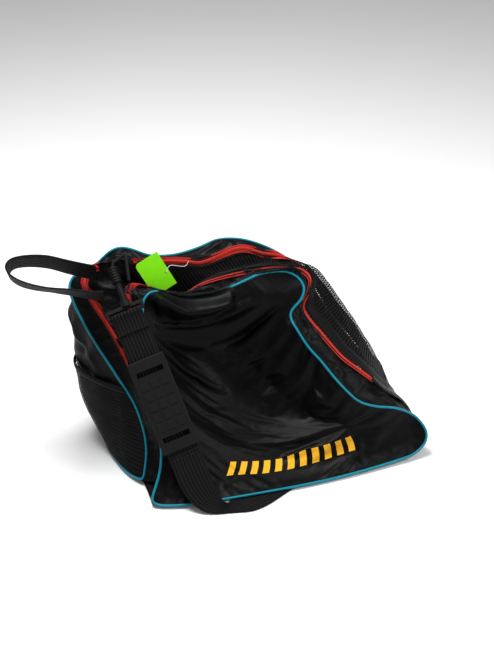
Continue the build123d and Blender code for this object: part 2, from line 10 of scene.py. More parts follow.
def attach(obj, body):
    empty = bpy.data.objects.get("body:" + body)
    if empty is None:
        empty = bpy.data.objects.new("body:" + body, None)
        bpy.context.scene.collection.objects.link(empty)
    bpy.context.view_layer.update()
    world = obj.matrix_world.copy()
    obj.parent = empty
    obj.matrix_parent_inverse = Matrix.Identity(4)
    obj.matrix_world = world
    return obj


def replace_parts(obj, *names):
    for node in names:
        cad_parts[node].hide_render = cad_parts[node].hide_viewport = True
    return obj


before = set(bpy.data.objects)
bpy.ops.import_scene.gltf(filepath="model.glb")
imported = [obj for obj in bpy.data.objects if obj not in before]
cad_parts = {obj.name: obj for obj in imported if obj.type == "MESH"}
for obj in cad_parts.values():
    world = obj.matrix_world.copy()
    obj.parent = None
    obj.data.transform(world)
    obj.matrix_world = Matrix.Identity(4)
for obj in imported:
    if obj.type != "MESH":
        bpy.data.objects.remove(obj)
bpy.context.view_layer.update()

FRONT_PIPING = {
    "left": [(-230, -126, 8), (-206, -97, 46), (-198, -70, 90), (-198, -50, 122), (-198, -8, 182),
             (-194, 28, 226), (-187, 50, 252)],
    "top": [(-187, 50, 252), (-172, 56, 260), (-150, 53, 257), (-123, 46, 248), (-100, 43, 247),
            (-69, 41, 250), (-35, 45, 257), (4, 54, 262), (42, 52, 260), (60, 42, 252)],
    "right": [(60, 42, 252), (65, 28, 241), (57, 18, 226), (40, 15, 210), (36, 6, 201),
              (40, -12, 191), (50, -36, 172), (63, -55, 157), (79, -78, 135), (93, -95, 119),
              (111, -106, 102), (138, -112, 91), (166, -116, 85), (193, -114, 68),
              (209, -118, 54), (218, -132, 38), (214, -141, 24)],
    "bottom": [(214, -141, 24), (200, -145, 13), (176, -149, 8), (75, -156, 5), (-20, -156, 5),
               (-160, -147, 5), (-214, -136, 5), (-230, -126, 8)],
}
FRONT_FLAP_FOLD = {
    "left": [(-212, -116, 10), (-200, -86, 50), (-199, -48, 110), (-202, -12, 160),
             (-202, 14, 195), (-200, 42, 236), (-196, 60, 261)],
    "top": [(-196, 60, 261), (-172, 66, 264), (-150, 62, 258), (-121, 55, 252), (-90, 55, 259),
            (-48, 54, 267), (2, 54, 270), (40, 53, 270), (66, 44, 262)],
    "right": [(66, 44, 262), (80, 34, 246), (74, 24, 232), (56, 14, 214), (58, -12, 196),
              (72, -34, 174), (86, -54, 158), (102, -74, 142), (124, -88, 122),
              (156, -98, 102), (198, -98, 68), (214, -102, 34), (206, -106, 8)],
}
FRONT_ZIP = {
    "left": [(-204, -108, 10), (-196, -80, 50), (-202, -40, 110), (-206, -4, 160),
             (-207, 22, 195), (-206, 54, 236), (-206, 72, 260)],
    "top": [(-206, 72, 260), (-194, 76, 266), (-177, 70, 262), (-150, 67, 241),
            (-120, 66, 240), (-90, 66, 254), (-48, 66, 261), (0, 66, 263), (44, 58, 263),
            (68, 48, 262)],
    "right": [(68, 48, 262), (79, 38, 250), (72, 26, 230), (60, 16, 212), (67, 2, 195),
              (78, -14, 182), (91, -33, 165), (104, -50, 150), (122, -65, 136),
              (139, -78, 123), (158, -88, 104), (192, -84, 72), (214, -80, 36),
              (214, -82, 8)],
}
GUSSET_MIDDLE = {
    "left": [(-196, -100, 10), (-190, -70, 50), (-204, -28, 110), (-212, 8, 160),
             (-216, 34, 195), (-222, 66, 236), (-230, 88, 260)],
    "top": [(-230, 88, 260), (-200, 92, 258), (-172, 88, 238), (-145, 84, 228),
            (-118, 80, 233), (-85, 76, 254), (-40, 77, 266), (0, 77, 269), (44, 68, 272),
            (86, 58, 261)],
    "right": [(86, 58, 261), (104, 58, 247), (113, 56, 232), (136, 50, 196),
              (160, 46, 156), (178, 38, 124), (206, 14, 66), (222, -10, 30), (226, -25, 8)],
}
BACK_ZIP = {
    "left": [(-204, -92, 10), (-198, -62, 50), (-212, -16, 110), (-223, 25, 160),
             (-234, 49, 195), (-255, 84, 236), (-266, 104, 262)],
    "top": [(-266, 104, 262), (-256, 113, 280), (-235, 112, 286), (-200, 104, 288),
            (-148, 93, 289), (-106, 90, 283), (-85, 90, 277), (-58, 90, 283),
            (-31, 92, 290), (-9, 90, 290), (16, 84, 280), (43, 72, 277), (76, 72, 255)],
    "right": [(76, 72, 255), (94, 80, 215), (120, 82, 165), (152, 80, 118), (184, 70, 72),
              (206, 56, 32), (212, 46, 8)],
}
BACK_STRIP_FOLD = {
    "left": [(-216, -84, 10), (-207, -55, 50), (-218, -8, 110), (-236, 32, 160),
             (-250, 56, 195), (-270, 92, 236), (-280, 110, 260)],
    "top": [(-280, 110, 260), (-269, 122, 275), (-238, 124, 284), (-205, 120, 296),
            (-150, 106, 291), (-110, 99, 289), (-85, 104, 293), (-42, 118, 301),
            (-25, 118, 301), (-7, 108, 297), (14, 93, 288), (43, 80, 277), (76, 92, 250)],
    "right": [(76, 92, 250), (100, 99, 205), (130, 101, 155), (162, 98, 108), (192, 88, 60),
              (207, 76, 26), (210, 68, 8)],
}
BACK_PIPING = {
    "left": [(-230, -76, 8), (-221, -60, 28), (-216, -48, 48), (-215, -31, 70),
             (-219, -14, 94), (-224, 0, 109), (-239, 21, 138), (-259, 49, 176),
             (-275, 74, 210), (-286, 98, 240), (-289, 111, 259)],
    "top": [(-289, 111, 259), (-280, 120, 270), (-262, 127, 276), (-240, 131, 280),
            (-221, 130, 297), (-203, 129, 304), (-182, 126, 298), (-158, 118, 288),
            (-120, 114, 285), (-80, 122, 286), (-42, 132, 290), (0, 128, 284),
            (40, 113, 268), (75, 112, 240)],
    "right": [(75, 112, 240), (108, 116, 185), (150, 118, 125), (188, 114, 60),
              (206, 106, 14)],
    "bottom": [(206, 106, 14), (198, 110, 6), (110, 116, 5), (0, 118, 5), (-110, 116, 5),
               (-205, 108, 5), (-250, 74, 5), (-262, 20, 5), (-248, -44, 5), (-230, -76, 8)],
}

BACK_BELLY = [
    [(-216, -31, 70), (-250, 6, 70), (-279, 50, 70), (-286, 88, 70), (-258, 122, 72),
     (-170, 136, 72), (-30, 141, 72), (100, 134, 70), (188, 116, 70)],
    [(-240, 23, 140), (-270, 50, 140), (-288, 80, 140), (-288, 108, 142), (-256, 134, 142),
     (-165, 147, 142), (-45, 150, 142), (70, 140, 140), (140, 118, 140)],
    [(-272, 70, 205), (-286, 90, 206), (-291, 106, 207), (-284, 126, 208), (-248, 143, 208),
     (-160, 152, 208), (-60, 153, 208), (30, 138, 206), (97, 115, 205)],
]

STRAP_TOP = np.array((-217.0, 33.0, 244.0))
STRAP_DIR = (0.2, -0.62, -0.757)
STRAP_SIDE = (0.944, -0.084, 0.318)
STRAP_RUN = 235.0
FOLD_L = 30.0          # webbing folded back over the hook's bar and sewn
STRAP_OUTER = [(-188, -131, 38), (-178, -150, 18), (-161, -166, 5), (-142, -174, 1.2), (-121, -178, 1.2),
               (-88, -184, 1.2), (-62, -178, 1.2), (-40, -168, 1.2), (-8, -154, 1.2), (50, -143, 1.2),
               (128, -132, 1.2), (182, -104, 1.2), (204, -62, 1.2)]
STRAP_INNER = [(-141, -134, 52), (-136, -150, 31), (-128, -162, 14), (-117, -159, 4.8), (-104, -142, 1.4),
               (-88, -134, 1.2), (-72, -129, 1.2), (-57, -121, 1.2), (-28, -108, 1.2), (42, -94, 1.2),
               (112, -85, 1.2), (144, -70, 1.2), (160, -42, 1.2)]
# Carry handle: middle line from the near leg round the loop to the far leg, and the
# direction of the webbing's width along it.
HANDLE_LINE = [(-244, 62, 263), (-258, 62, 266), (-288, 67, 274), (-318, 70, 282), (-347, 74, 291),
               (-368, 80, 301), (-378, 90, 312), (-370, 98, 320), (-348, 101, 320), (-318, 102, 313),
               (-290, 101, 305), (-264, 99, 298), (-248, 97, 295)]
HANDLE_SIDE = [(-0.1, -0.62, 0.78), (-0.15, -0.66, 0.74), (-0.2, -0.72, 0.66), (-0.22, -0.72, 0.66),
               (-0.2, -0.68, 0.70), (-0.12, -0.60, 0.79), (-0.10, -0.50, 0.86), (-0.12, -0.44, 0.89),
               (-0.14, -0.42, 0.90), (-0.14, -0.42, 0.90), (-0.12, -0.42, 0.90), (-0.10, -0.44, 0.89),
               (-0.10, -0.46, 0.88)]

STRAP_W, STRAP_T = 48.0, 1.6
HANDLE_W, HANDLE_T = 38.0, 2.2
TAPE_W, COIL_W, COVER_W = 13.0, 5.0, 17.0
PIPING_R, THREAD_R = 1.9, 0.4
MESH_FROM, MESH_TO = 1.16, 2.72   # along the gusset: 0-1 left end, 1-2 top, 2-3 right end
RECESS = 56.0          # how far the front panel has fallen in below its top edge
ROLL = 31.0            # how high its rolled top edge stands
ZIP_SINK = 6.0         # how deep the zips lie where a flap of cloth has slid over them


# ------------------------------------------------------------------ small maths
def unit(v):
    v = np.asarray(v, float)
    return v / max(np.linalg.norm(v), 1e-12)


def step(x):
    x = min(1.0, max(0.0, x))
    return x * x * (3 - 2 * x)


def spline(points, n):
    p = np.asarray(points, float)
    q = np.vstack([2 * p[0] - p[1], p, 2 * p[-1] - p[-2]])
    dense = []
    for i in range(1, len(q) - 2):
        a, b, c, d = q[i - 1:i + 3]
        for t in np.linspace(0, 1, 12, endpoint=False):
            dense.append(0.5 * (2 * b + (c - a) * t + (2 * a - 5 * b + 4 * c - d) * t ** 2
                                + (3 * b - a - 3 * c + d) * t ** 3))
    dense.append(p[-1])
    dense = np.array(dense)
    run = np.concatenate([[0], np.cumsum(np.linalg.norm(np.diff(dense, axis=0), axis=1))])
    want = np.linspace(0, run[-1], n)
    return np.stack([np.interp(want, run, dense[:, k]) for k in range(3)], 1)


def sample(line, s):
    at = np.linspace(0, 1, len(line))
    return np.array([np.interp(s, at, line[:, k]) for k in range(3)])


def length(line):
    return float(np.linalg.norm(np.diff(np.asarray(line, float), axis=0), axis=1).sum())


STRETCHES = {"left": 60, "top": 110, "right": 110}


def around(line):
    out = [spline(line[k], STRETCHES[k] + 1)[:-1] for k in ("left", "top")]
    out.append(spline(line["right"], STRETCHES["right"] + 1))
    return smooth(np.vstack(out), 2)


def smooth(line, times):
    line = line.copy()
    for _ in range(times):
        line[1:-1] = 0.25 * line[:-2] + 0.5 * line[1:-1] + 0.25 * line[2:]
    return line


MARKS = np.concatenate([np.linspace(k, k + 1, n + 1)[:-1] for k, n in enumerate(STRETCHES.values())]
                       + [[3.0]])


def part_of_run(rows, start, end, n):
    want = np.linspace(start, end, n)
    return [np.stack([np.interp(want, MARKS, r[:, k]) for k in range(3)], 1) for r in rows]


def strip_grid(rows, gap_a, gap_b, across):
    grid = []
    gaps = np.broadcast_to(gap_a, len(rows[0])), np.broadcast_to(gap_b, len(rows[0]))
    for a, m, b, ga, gb in zip(*rows, *gaps):
        line = spline([a, m, b], 25)
        total = max(length(line), ga + gb + 1.0)
        at = np.linspace(0, 1, 25)
        steps = np.linspace(ga / total, 1 - gb / total, across)
        grid.append([[np.interp(s, at, line[:, k]) for k in range(3)] for s in steps])
    return np.array(grid)


def normals(p):
    n = np.cross(np.gradient(p, axis=0), np.gradient(p, axis=1))
    return n / np.maximum(np.linalg.norm(n, axis=2), 1e-9)[..., None]


# ------------------------------------------------------------------ materials
def material(name, colour, rough, sheen=0.0, coat=0.0, spec=0.5):
    m = bpy.data.materials.new(name)
    m.use_nodes = True
    b = m.node_tree.nodes["Principled BSDF"]
    b.inputs["Base Color"].default_value = (*colour, 1)
    b.inputs["Roughness"].default_value = rough
    b.inputs["Specular IOR Level"].default_value = spec
    b.inputs["Sheen Weight"].default_value = sheen
    b.inputs["Coat Weight"].default_value = coat
    return m, m.node_tree, b


def node(t, kind, **inputs):
    n = t.nodes.new(kind)
    for k, v in inputs.items():
        key = int(k[1:]) if k[0] == "i" and k[1:].isdigit() else k.replace("_", " ")
        if hasattr(v, "is_output") or v.__class__.__name__.startswith("NodeSocket"):
            t.links.new(v, n.inputs[key])
        else:
            n.inputs[key].default_value = v
    return n


def maths(t, op, a, b=0.0, c=0.0):
    n = node(t, "ShaderNodeMath", i0=a, i1=b, i2=c)
    n.operation = op
    return n.outputs[0]


def between(t, x, low, high):
    return maths(t, "MULTIPLY", maths(t, "GREATER_THAN", x, low), maths(t, "LESS_THAN", x, high))


def uv_of(t):
    s = t.nodes.new("ShaderNodeSeparateXYZ")
    u = t.nodes.new("ShaderNodeUVMap")
    u.uv_map = "uv"
    t.links.new(u.outputs[0], s.inputs[0])
    return u.outputs[0], s.outputs[0], s.outputs[1]


def bump(t, b, height, strength, distance):
    n = node(t, "ShaderNodeBump", Strength=strength, Distance=distance, Height=height)
    t.links.new(n.outputs[0], b.inputs["Normal"])


def weave(t, u, v, pitch):
    """Plain weave: two crossed sine ribs, out of step from thread to thread."""
    k = 2 * pi / pitch
    a = maths(t, "SINE", maths(t, "MULTIPLY", u, k))
    b = maths(t, "SINE", maths(t, "MULTIPLY", v, k))
    return maths(t, "MULTIPLY", a, b)


def nylon(name, colour=(0.0022, 0.0023, 0.0026), rough=0.42, marks=False):
    m, t, b = material(name, colour, rough, sheen=0.002, spec=0.09)
    uv, u, v = uv_of(t)
    grain = node(t, "ShaderNodeTexNoise", Vector=uv, Scale=90.0, Detail=4.0)
    wear = node(t, "ShaderNodeTexNoise", Vector=uv, Scale=11.0, Detail=6.0, Roughness=0.62)
    tone = node(t, "ShaderNodeValToRGB", Fac=wear.outputs[0])
    tone.color_ramp.elements[0].position, tone.color_ramp.elements[1].position = 0.35, 0.75
    tone.color_ramp.elements[0].color = (*[c * 0.8 for c in colour], 1)
    tone.color_ramp.elements[1].color = (*[c * 1.55 for c in colour], 1)
    out = tone.outputs[0]
    if marks:
        out = printed(t, b, u, v, out)
    t.links.new(out, b.inputs["Base Color"])
    r = maths(t, "MULTIPLY_ADD", wear.outputs[0], 0.28, rough - 0.14)
    t.links.new(r, b.inputs["Roughness"])
    h = maths(t, "MULTIPLY_ADD", grain.outputs[0], 0.8, maths(t, "MULTIPLY", weave(t, u, v, 0.0011), 0.25))
    bump(t, b, h, 0.35, 0.00035)
    return m


# the printed bars, in metres on the front panel's flat cloth
BARS_LEFT, BARS_RIGHT = 0.066, 0.231
BARS_LOW, BARS_HIGH = 0.049, 0.074
BARS_SLOPE, BAR_PITCH, BAR_LEAN, BAR_SHARE = 0.06, 0.0150, -0.42, 0.55


def printed(t, b, u, v, base):
    """Plain slanted orange bars low on the front panel: a generic printed trim."""
    rise = maths(t, "MULTIPLY_ADD", u, BARS_SLOPE, v)
    lean = maths(t, "MULTIPLY_ADD", rise, BAR_LEAN, u)
    beat = maths(t, "DIVIDE", maths(t, "SUBTRACT", lean, BARS_LEFT), BAR_PITCH)
    bars = maths(t, "LESS_THAN", maths(t, "FRACT", beat), BAR_SHARE)
    inside = between(t, lean, BARS_LEFT, BARS_RIGHT)
    tall = between(t, rise, BARS_LOW, BARS_HIGH)
    mask = maths(t, "MULTIPLY", maths(t, "MULTIPLY", bars, inside), tall)
    worn = node(t, "ShaderNodeTexNoise", Scale=260.0, Detail=5.0)
    mask = maths(t, "MULTIPLY", mask, maths(t, "LESS_THAN", worn.outputs[0], 0.66))
    mix = t.nodes.new("ShaderNodeMix")
    mix.data_type = "RGBA"
    t.links.new(mask, mix.inputs[0])
    t.links.new(base, mix.inputs[6])
    mix.inputs[7].default_value = (0.83, 0.42, 0.02, 1)
    return mix.outputs[2]


def webbing(name):
    m, t, b = material(name, (0.003, 0.003, 0.0033), 0.6, sheen=0.01, spec=0.1)
    uv, u, v = uv_of(t)
    rib = maths(t, "SINE", maths(t, "MULTIPLY", v, 2 * pi / 0.0052))
    cross = maths(t, "SINE", maths(t, "MULTIPLY", u, 2 * pi / 0.0022))
    h = maths(t, "MULTIPLY_ADD", cross, 0.35, rib)
    fuzz = node(t, "ShaderNodeTexNoise", Vector=uv, Scale=900.0, Detail=3.0)
    h = maths(t, "MULTIPLY_ADD", fuzz.outputs[0], 0.5, h)
    bump(t, b, h, 0.7, 0.0006)
    # painted shade and painted highlight: the base colour follows the ribs, darker in the grooves between
    # them and lighter on their crests
    tone = node(t, "ShaderNodeMapRange", Value=rib, From_Min=-1.0, From_Max=1.0, To_Min=0.0015, To_Max=0.0065)
    comb = node(t, "ShaderNodeCombineColor", i0=tone.outputs[0], i1=tone.outputs[0], i2=tone.outputs[0])
    t.links.new(comb.outputs[0], b.inputs["Base Color"])
    return m


def see_through(name, along, pitch, open_share, net):
    """Ribbed open mesh: solid ribs with a fine net between them."""
    m, t, b = material(name, (0.0035, 0.0035, 0.0038), 0.6, sheen=0.01, spec=0.1)
    uv, u, v = uv_of(t)
    x, y = (u, v) if along else (v, u)
    rib = maths(t, "PINGPONG", maths(t, "DIVIDE", x, pitch), 0.5)
    is_rib = maths(t, "LESS_THAN", rib, 0.5 * (1 - open_share))
    holes = maths(t, "MULTIPLY", maths(t, "SINE", maths(t, "MULTIPLY", x, 2 * pi / net)),
                  maths(t, "SINE", maths(t, "MULTIPLY", y, 2 * pi / net)))
    solid = maths(t, "MAXIMUM", is_rib, maths(t, "LESS_THAN", maths(t, "ABSOLUTE", holes), 0.33))
    t.links.new(solid, b.inputs["Alpha"])
    bump(t, b, maths(t, "MULTIPLY", rib, -1.0), 0.8, 0.0012)
    return m


def plain(name, colour, rough, scale=400.0, depth=0.0002, sheen=0.0, coat=0.0, spec=0.3):
    m, t, b = material(name, colour, rough, sheen=sheen, coat=coat, spec=spec)
    co = t.nodes.new("ShaderNodeTexCoord")
    n = node(t, "ShaderNodeTexNoise", Vector=co.outputs["Object"], Scale=scale, Detail=4.0)
    bump(t, b, n.outputs[0], 0.4, depth)
    spots = node(t, "ShaderNodeTexNoise", Vector=co.outputs["Object"], Scale=40.0, Detail=5.0)
    ramp = node(t, "ShaderNodeValToRGB", Fac=spots.outputs[0])
    ramp.color_ramp.elements[0].color = (*[c * 0.82 for c in colour], 1)
    ramp.color_ramp.elements[1].color = (*[min(1, c * 1.15) for c in colour], 1)
    t.links.new(ramp.outputs[0], b.inputs["Base Color"])
    return m


def teeth(name, colour, pitch):
    """Zip coil: a row of fine turns, darkened down the middle by painted shade in the gap where the two rows
    meet.
    """
    m, t, b = material(name, colour, 0.42, spec=0.3)
    uv, u, v = uv_of(t)
    turns = maths(t, "SINE", maths(t, "MULTIPLY", u, 2 * pi / pitch))
    mid = maths(t, "ABSOLUTE", v)
    bump(t, b, turns, 0.9, 0.0006)
    # painted shade: the red is darkened towards the coil's middle line, in the gap where the two rows of
    # turns meet
    seam_shade = node(t, "ShaderNodeMapRange", Value=mid, From_Min=0.0, From_Max=0.0008, To_Min=0.25, To_Max=1.0)
    mix = t.nodes.new("ShaderNodeMix")
    mix.data_type = "RGBA"
    t.links.new(seam_shade.outputs[0], mix.inputs[0])
    mix.inputs[6].default_value = (*[c * 0.3 for c in colour], 1)
    mix.inputs[7].default_value = (*colour, 1)
    t.links.new(mix.outputs[2], b.inputs["Base Color"])
    return m


RED = (0.58, 0.028, 0.018)
TEAL = (0.0, 0.20, 0.28)
MATS = {
    "nylon": nylon("nylon"), "front_nylon": nylon("front_nylon", marks=True),
    "mesh": see_through("gusset_mesh", True, 0.0052, 0.62, 0.0016),
    "pocket": see_through("pocket_mesh", False, 0.0062, 0.42, 0.0016),
    "webbing": webbing("webbing"), "binding": nylon("binding", (0.0028, 0.0028, 0.003), 0.55),
    "tape": plain("zip_tape", (0.47, 0.022, 0.015), 0.7, 900.0, 0.0003, sheen=0.02, spec=0.15),
    "coil": teeth("zip_coil", RED, 0.0016),
    "piping": plain("piping", TEAL, 0.4, 700.0, 0.0002, spec=0.25),
    "rubber": plain("pad_rubber", (0.0085, 0.0085, 0.0088), 0.62, 500.0, 0.0003, spec=0.12),
    "plastic": plain("hook_plastic", (0.0055, 0.0055, 0.0058), 0.5, 300.0, 0.0001, spec=0.14),
    "metal": plain("slider_enamel", (0.01, 0.01, 0.01), 0.35, 300.0, 0.0001, coat=0.1, spec=0.2),
    "card": plain("tag_card", (0.25, 0.98, 0.0), 0.7, 250.0, 0.0001),
    "clear": plain("tag_nylon", (0.75, 0.76, 0.74), 0.25, 200.0, 0.0001),
    "thread": plain("thread", (0.011, 0.011, 0.012), 0.6, 900.0, 0.0002, sheen=0.3),
}


# ------------------------------------------------------------------ meshes
def new_mesh(name, verts, faces, uvs, mat):
    me = bpy.data.meshes.new(name)
    me.from_pydata([tuple(float(c) / 1000 for c in v) for v in verts], [], faces)
    layer = me.uv_layers.new(name="uv")
    for loop in me.loops:
        layer.data[loop.index].uv = uvs[loop.vertex_index]
    for p in me.polygons:
        p.use_smooth = True
    me.materials.append(mat)
    o = bpy.data.objects.new(name, me)
    bpy.context.scene.collection.objects.link(o)
    return o


CUT = {}


def cut_size(g):
    """Metres along a pattern piece's middle line and across its widest place, and its area."""
    a, b = g[1:, :-1] - g[:-1, :-1], g[:-1, 1:] - g[:-1, :-1]
    c, d = g[:-1, 1:] - g[1:, 1:], g[1:, :-1] - g[1:, 1:]
    area = (np.linalg.norm(np.cross(a, b), axis=2) + np.linalg.norm(np.cross(c, d), axis=2)).sum() / 2e6
    along = np.linalg.norm(np.diff(g[:, g.shape[1] // 2], axis=0), axis=1).sum() / 1000
    across = np.linalg.norm(np.diff(g, axis=1), axis=2).sum(1).max() / 1000
    return float(along), float(across), float(area)


def grid_mesh(name, grid, mat, centre_v=False):
    """A cloth grid as a mesh whose UVs are its flat sizes in metres."""
    g = np.asarray(grid, float)
    nu, nv = g.shape[:2]
    CUT[name] = cut_size(g)
    du = np.concatenate([np.zeros((1, nv)), np.cumsum(np.linalg.norm(np.diff(g, axis=0), axis=2), 0)], 0)
    dv = np.concatenate([np.zeros((nu, 1)), np.cumsum(np.linalg.norm(np.diff(g, axis=1), axis=2), 1)], 1)
    u = np.repeat(du.mean(1)[:, None], nv, 1) / 1000
    v = np.repeat(dv.mean(0)[None, :], nu, 0) / 1000
    if centre_v:
        v = v - v[:, -1:].mean() / 2
    faces = [(i * nv + j, (i + 1) * nv + j, (i + 1) * nv + j + 1, i * nv + j + 1)
             for i in range(nu - 1) for j in range(nv - 1)]
    uvs = [(float(a), float(b)) for a, b in zip(u.ravel(), v.ravel())]
    return new_mesh(name, g.reshape(-1, 3), faces, uvs, mat)


def thick(obj, t):
    m = obj.modifiers.new("thick", "SOLIDIFY")
    m.thickness, m.offset = t / 1000, 0.0
    bake(obj)


def finer(obj):
    m = obj.modifiers.new("sub", "SUBSURF")
    m.levels = m.render_levels = 1
    m.boundary_smooth = "PRESERVE_CORNERS"
    bake(obj)


def bake(obj):
    dg = bpy.context.evaluated_depsgraph_get()
    me = bpy.data.meshes.new_from_object(obj.evaluated_get(dg), preserve_all_data_layers=True, depsgraph=dg)
    old = obj.data
    obj.modifiers.clear()
    obj.data = me
    bpy.data.meshes.remove(old)


def cord_mesh(name, line, radius, mat, closed=False, sides=10):
    line = np.asarray(line, float)
    n = len(line)
    ring = [line[(i + 1) % n] - line[i - 1] for i in range(n)]
    run = ring if closed else list(np.gradient(line, axis=0))
    up = unit(np.cross(run[0], (0.31, 0.52, 0.8)))
    verts, uvs, at = [], [], 0.0
    for i in range(n):
        r = unit(run[i])
        up = unit(up - r * np.dot(up, r))
        v = np.cross(r, up)
        at += float(np.linalg.norm(line[i] - line[i - 1])) / 1000 if i else 0.0
        for k in range(sides):
            a = 2 * pi * k / sides
            verts.append(line[i] + radius * (up * cos(a) + v * sin(a)))
            uvs.append((at, k / sides * 2 * pi * radius / 1000))
    faces = []
    for i in range(n if closed else n - 1):
        j = (i + 1) % n
        shift = 0
        if closed and j == 0:
            a0 = verts[0]
            shift = min(range(sides), key=lambda s: float(np.linalg.norm(verts[i * sides + s] - a0)))
        for k in range(sides):
            m = (k + 1) % sides
            faces.append((i * sides + (k + shift) % sides, i * sides + (m + shift) % sides,
                          j * sides + m, j * sides + k))
    if not closed:
        faces.append(tuple(range(sides)))
        faces.append(tuple((n - 1) * sides + k for k in reversed(range(sides))))
    return new_mesh(name, verts, faces, uvs, mat)


def stitches(name, rows, mat, pitch=3.4, size=(2.3, 0.55, 0.35)):
    """Thread stitches: short beads along rows of (point, outward normal)."""
    verts, faces, uvs = [], [], []
    for line, normal in rows:
        line, normal = np.asarray(line, float), np.asarray(normal, float)
        count = max(2, int(length(line) / pitch))
        for s in np.linspace(0.002, 0.998, count):
            p, q = sample(line, max(0, s - 0.003)), sample(line, min(1, s + 0.003))
            n = unit(sample(normal, s))
            t = unit(q - p)
            w = np.cross(n, t)
            c = sample(line, s) + n * 0.15
            base = len(verts)
            for a in (-1, -0.55, 0.55, 1):
                rise = size[2] if abs(a) < 0.9 else 0.0
                for b in (-1, 1):
                    taper = 0.6 if rise == 0 else 1
                    verts.append(c + t * a * size[0] / 2 + w * b * size[1] / 2 * taper + n * rise)
                    uvs.append((0.0, 0.0))
            for k in range(3):
                i = base + 2 * k
                faces.append((i, i + 1, i + 3, i + 2))
            for b in (0, 1):
                faces.append(tuple(base + 2 * k + b for k in range(4)))
    return new_mesh(name, verts, faces, uvs, mat)


def relax(obj, pinned, frames, grow, gravity, bend):
    """Let a sewn panel with a little spare cloth settle between its seams, then keep that shape."""
    vg = obj.vertex_groups.new(name="pin")
    vg.add(pinned, 1.0, "REPLACE")
    m = obj.modifiers.new("settle", "CLOTH")
    s = m.settings
    s.quality, s.mass, s.air_damping = 5, 0.2, 2.0
    s.tension_stiffness = s.compression_stiffness = 12.0
    s.shear_stiffness, s.bending_stiffness = 4.0, bend
    s.vertex_group_mass, s.pin_stiffness = "pin", 1.0
    s.shrink_min = -grow
    s.effector_weights.gravity = gravity
    m.collision_settings.use_collision = False
    m.point_cache.frame_start, m.point_cache.frame_end = 1, frames
    sc = bpy.context.scene
    for f in range(1, frames + 1):
        sc.frame_set(f)
    dg = bpy.context.evaluated_depsgraph_get()
    ev = obj.evaluated_get(dg)
    co = np.empty(len(ev.data.vertices) * 3)
    ev.data.vertices.foreach_get("co", co)
    obj.modifiers.clear()
    obj.data.vertices.foreach_set("co", co)
    obj.data.update()
    sc.frame_set(1)


def rim(nu, nv):
    """The vertices round the edge of a grid."""
    return [i * nv + j for i in range(nu) for j in range(nv) if i in (0, nu - 1) or j in (0, nv - 1)]


def ripple(p, scale, amount, seed):
    """Soft random wrinkles of that size and height."""
    return amount * noise.fractal(Vector((p[0] / scale + seed, p[1] / scale, p[2] / scale)), 1.0, 2.1, 4)


# ------------------------------------------------------------------ panels
FP, FF, FZ = around(FRONT_PIPING), around(FRONT_FLAP_FOLD), around(FRONT_ZIP)
GM = around(GUSSET_MIDDLE)
BZ, BF, BP = around(BACK_ZIP), around(BACK_STRIP_FOLD), around(BACK_PIPING)


def edges_of(line, n):
    return (spline(line["bottom"], n)[::-1], spline(line["top"], n), spline(line["left"], n),
            spline(line["right"], n)[::-1])


LOW, TOP, LEFT, RIGHT = edges_of(FRONT_PIPING, 140)
INWARD = unit((0.0, 0.785, -0.62))


def bell(x, a, b, soft):
    """1 between a and b, fading to 0 over soft at each end."""
    return step((x - a + soft) / soft) * step((b + soft - x) / soft)


def near_line(u, v, a, b, w):
    """1 on the line from a to b in panel space, fading over w."""
    a, b, p = np.array(a), np.array(b), np.array((u, v))
    t = min(1, max(0, np.dot(p - a, b - a) / np.dot(b - a, b - a)))
    return (float(np.exp(-(np.linalg.norm(p - a - t * (b - a)) / w) ** 2))
            * sin(pi * min(0.97, max(0.03, t))) ** 0.4)


def front_point(u, v):
    p = ((1 - v) * sample(LOW, u) + v * sample(TOP, u) + (1 - u) * sample(LEFT, v) + u * sample(RIGHT, v)
         - (1 - u) * (1 - v) * LOW[0] - u * (1 - v) * LOW[-1] - (1 - u) * v * TOP[0] - u * v * TOP[-1])
    top = 0.86 + 0.07 * u
    deep = step((top - v) / 0.11) * (1 - step((0.62 - v) / 0.50))
    wide = step((u - 0.04) / 0.30) * step((0.95 - u) / 0.22)
    d = RECESS * deep * wide
    d -= 9 * near_line(u, v, (0.02, 0.90), (0.95, 0.95), 0.045)
    d += 15 * near_line(u, v, (0.66, 0.74), (0.80, 0.22), 0.035)
    d -= 9 * near_line(u, v, (0.74, 0.72), (0.88, 0.24), 0.035)
    d += 9 * near_line(u, v, (0.30, 0.70), (0.38, 0.30), 0.05)
    d -= 7 * near_line(u, v, (0.16, 0.62), (0.34, 0.44), 0.035)
    d -= 6 * near_line(u, v, (0.46, 0.60), (0.60, 0.14), 0.04)
    d -= 5 * near_line(u, v, (0.52, 0.20), (0.93, 0.12), 0.035)
    d += 5 * near_line(u, v, (0.70, 0.12), (0.97, 0.22), 0.03)
    edge = min(1.0, 12 * u) * min(1.0, 12 * (1 - u)) * min(1.0, 12 * v) * min(1.0, 12 * (1 - v))
    d += ripple(p, 60, 5.0, 3.1) + ripple(p, 24, 1.6, 8.4)
    roll = bell(u, 0.11, 0.50, 0.08) * exp(-((v - 0.955) / 0.036) ** 2) * min(1.0, 25 * (1 - v))
    return p + INWARD * d * edge + np.array((0, -0.35, 0.94)) * ROLL * roll


NU, NV = 100, 84
front_grid = [[front_point(u, v) for v in np.linspace(0, 1, NV)] for u in np.linspace(0, 1, NU)]
front = grid_mesh("front_panel_cloth", front_grid, MATS["front_nylon"])
relax(front, rim(NU, NV), frames=22, grow=0.022, gravity=0.2, bend=0.6)
finer(front)

LOW_B, TOP_B, LEFT_B, RIGHT_B = edges_of(BACK_PIPING, 140)
BELLY = [spline(r, 140) for r in BACK_BELLY]


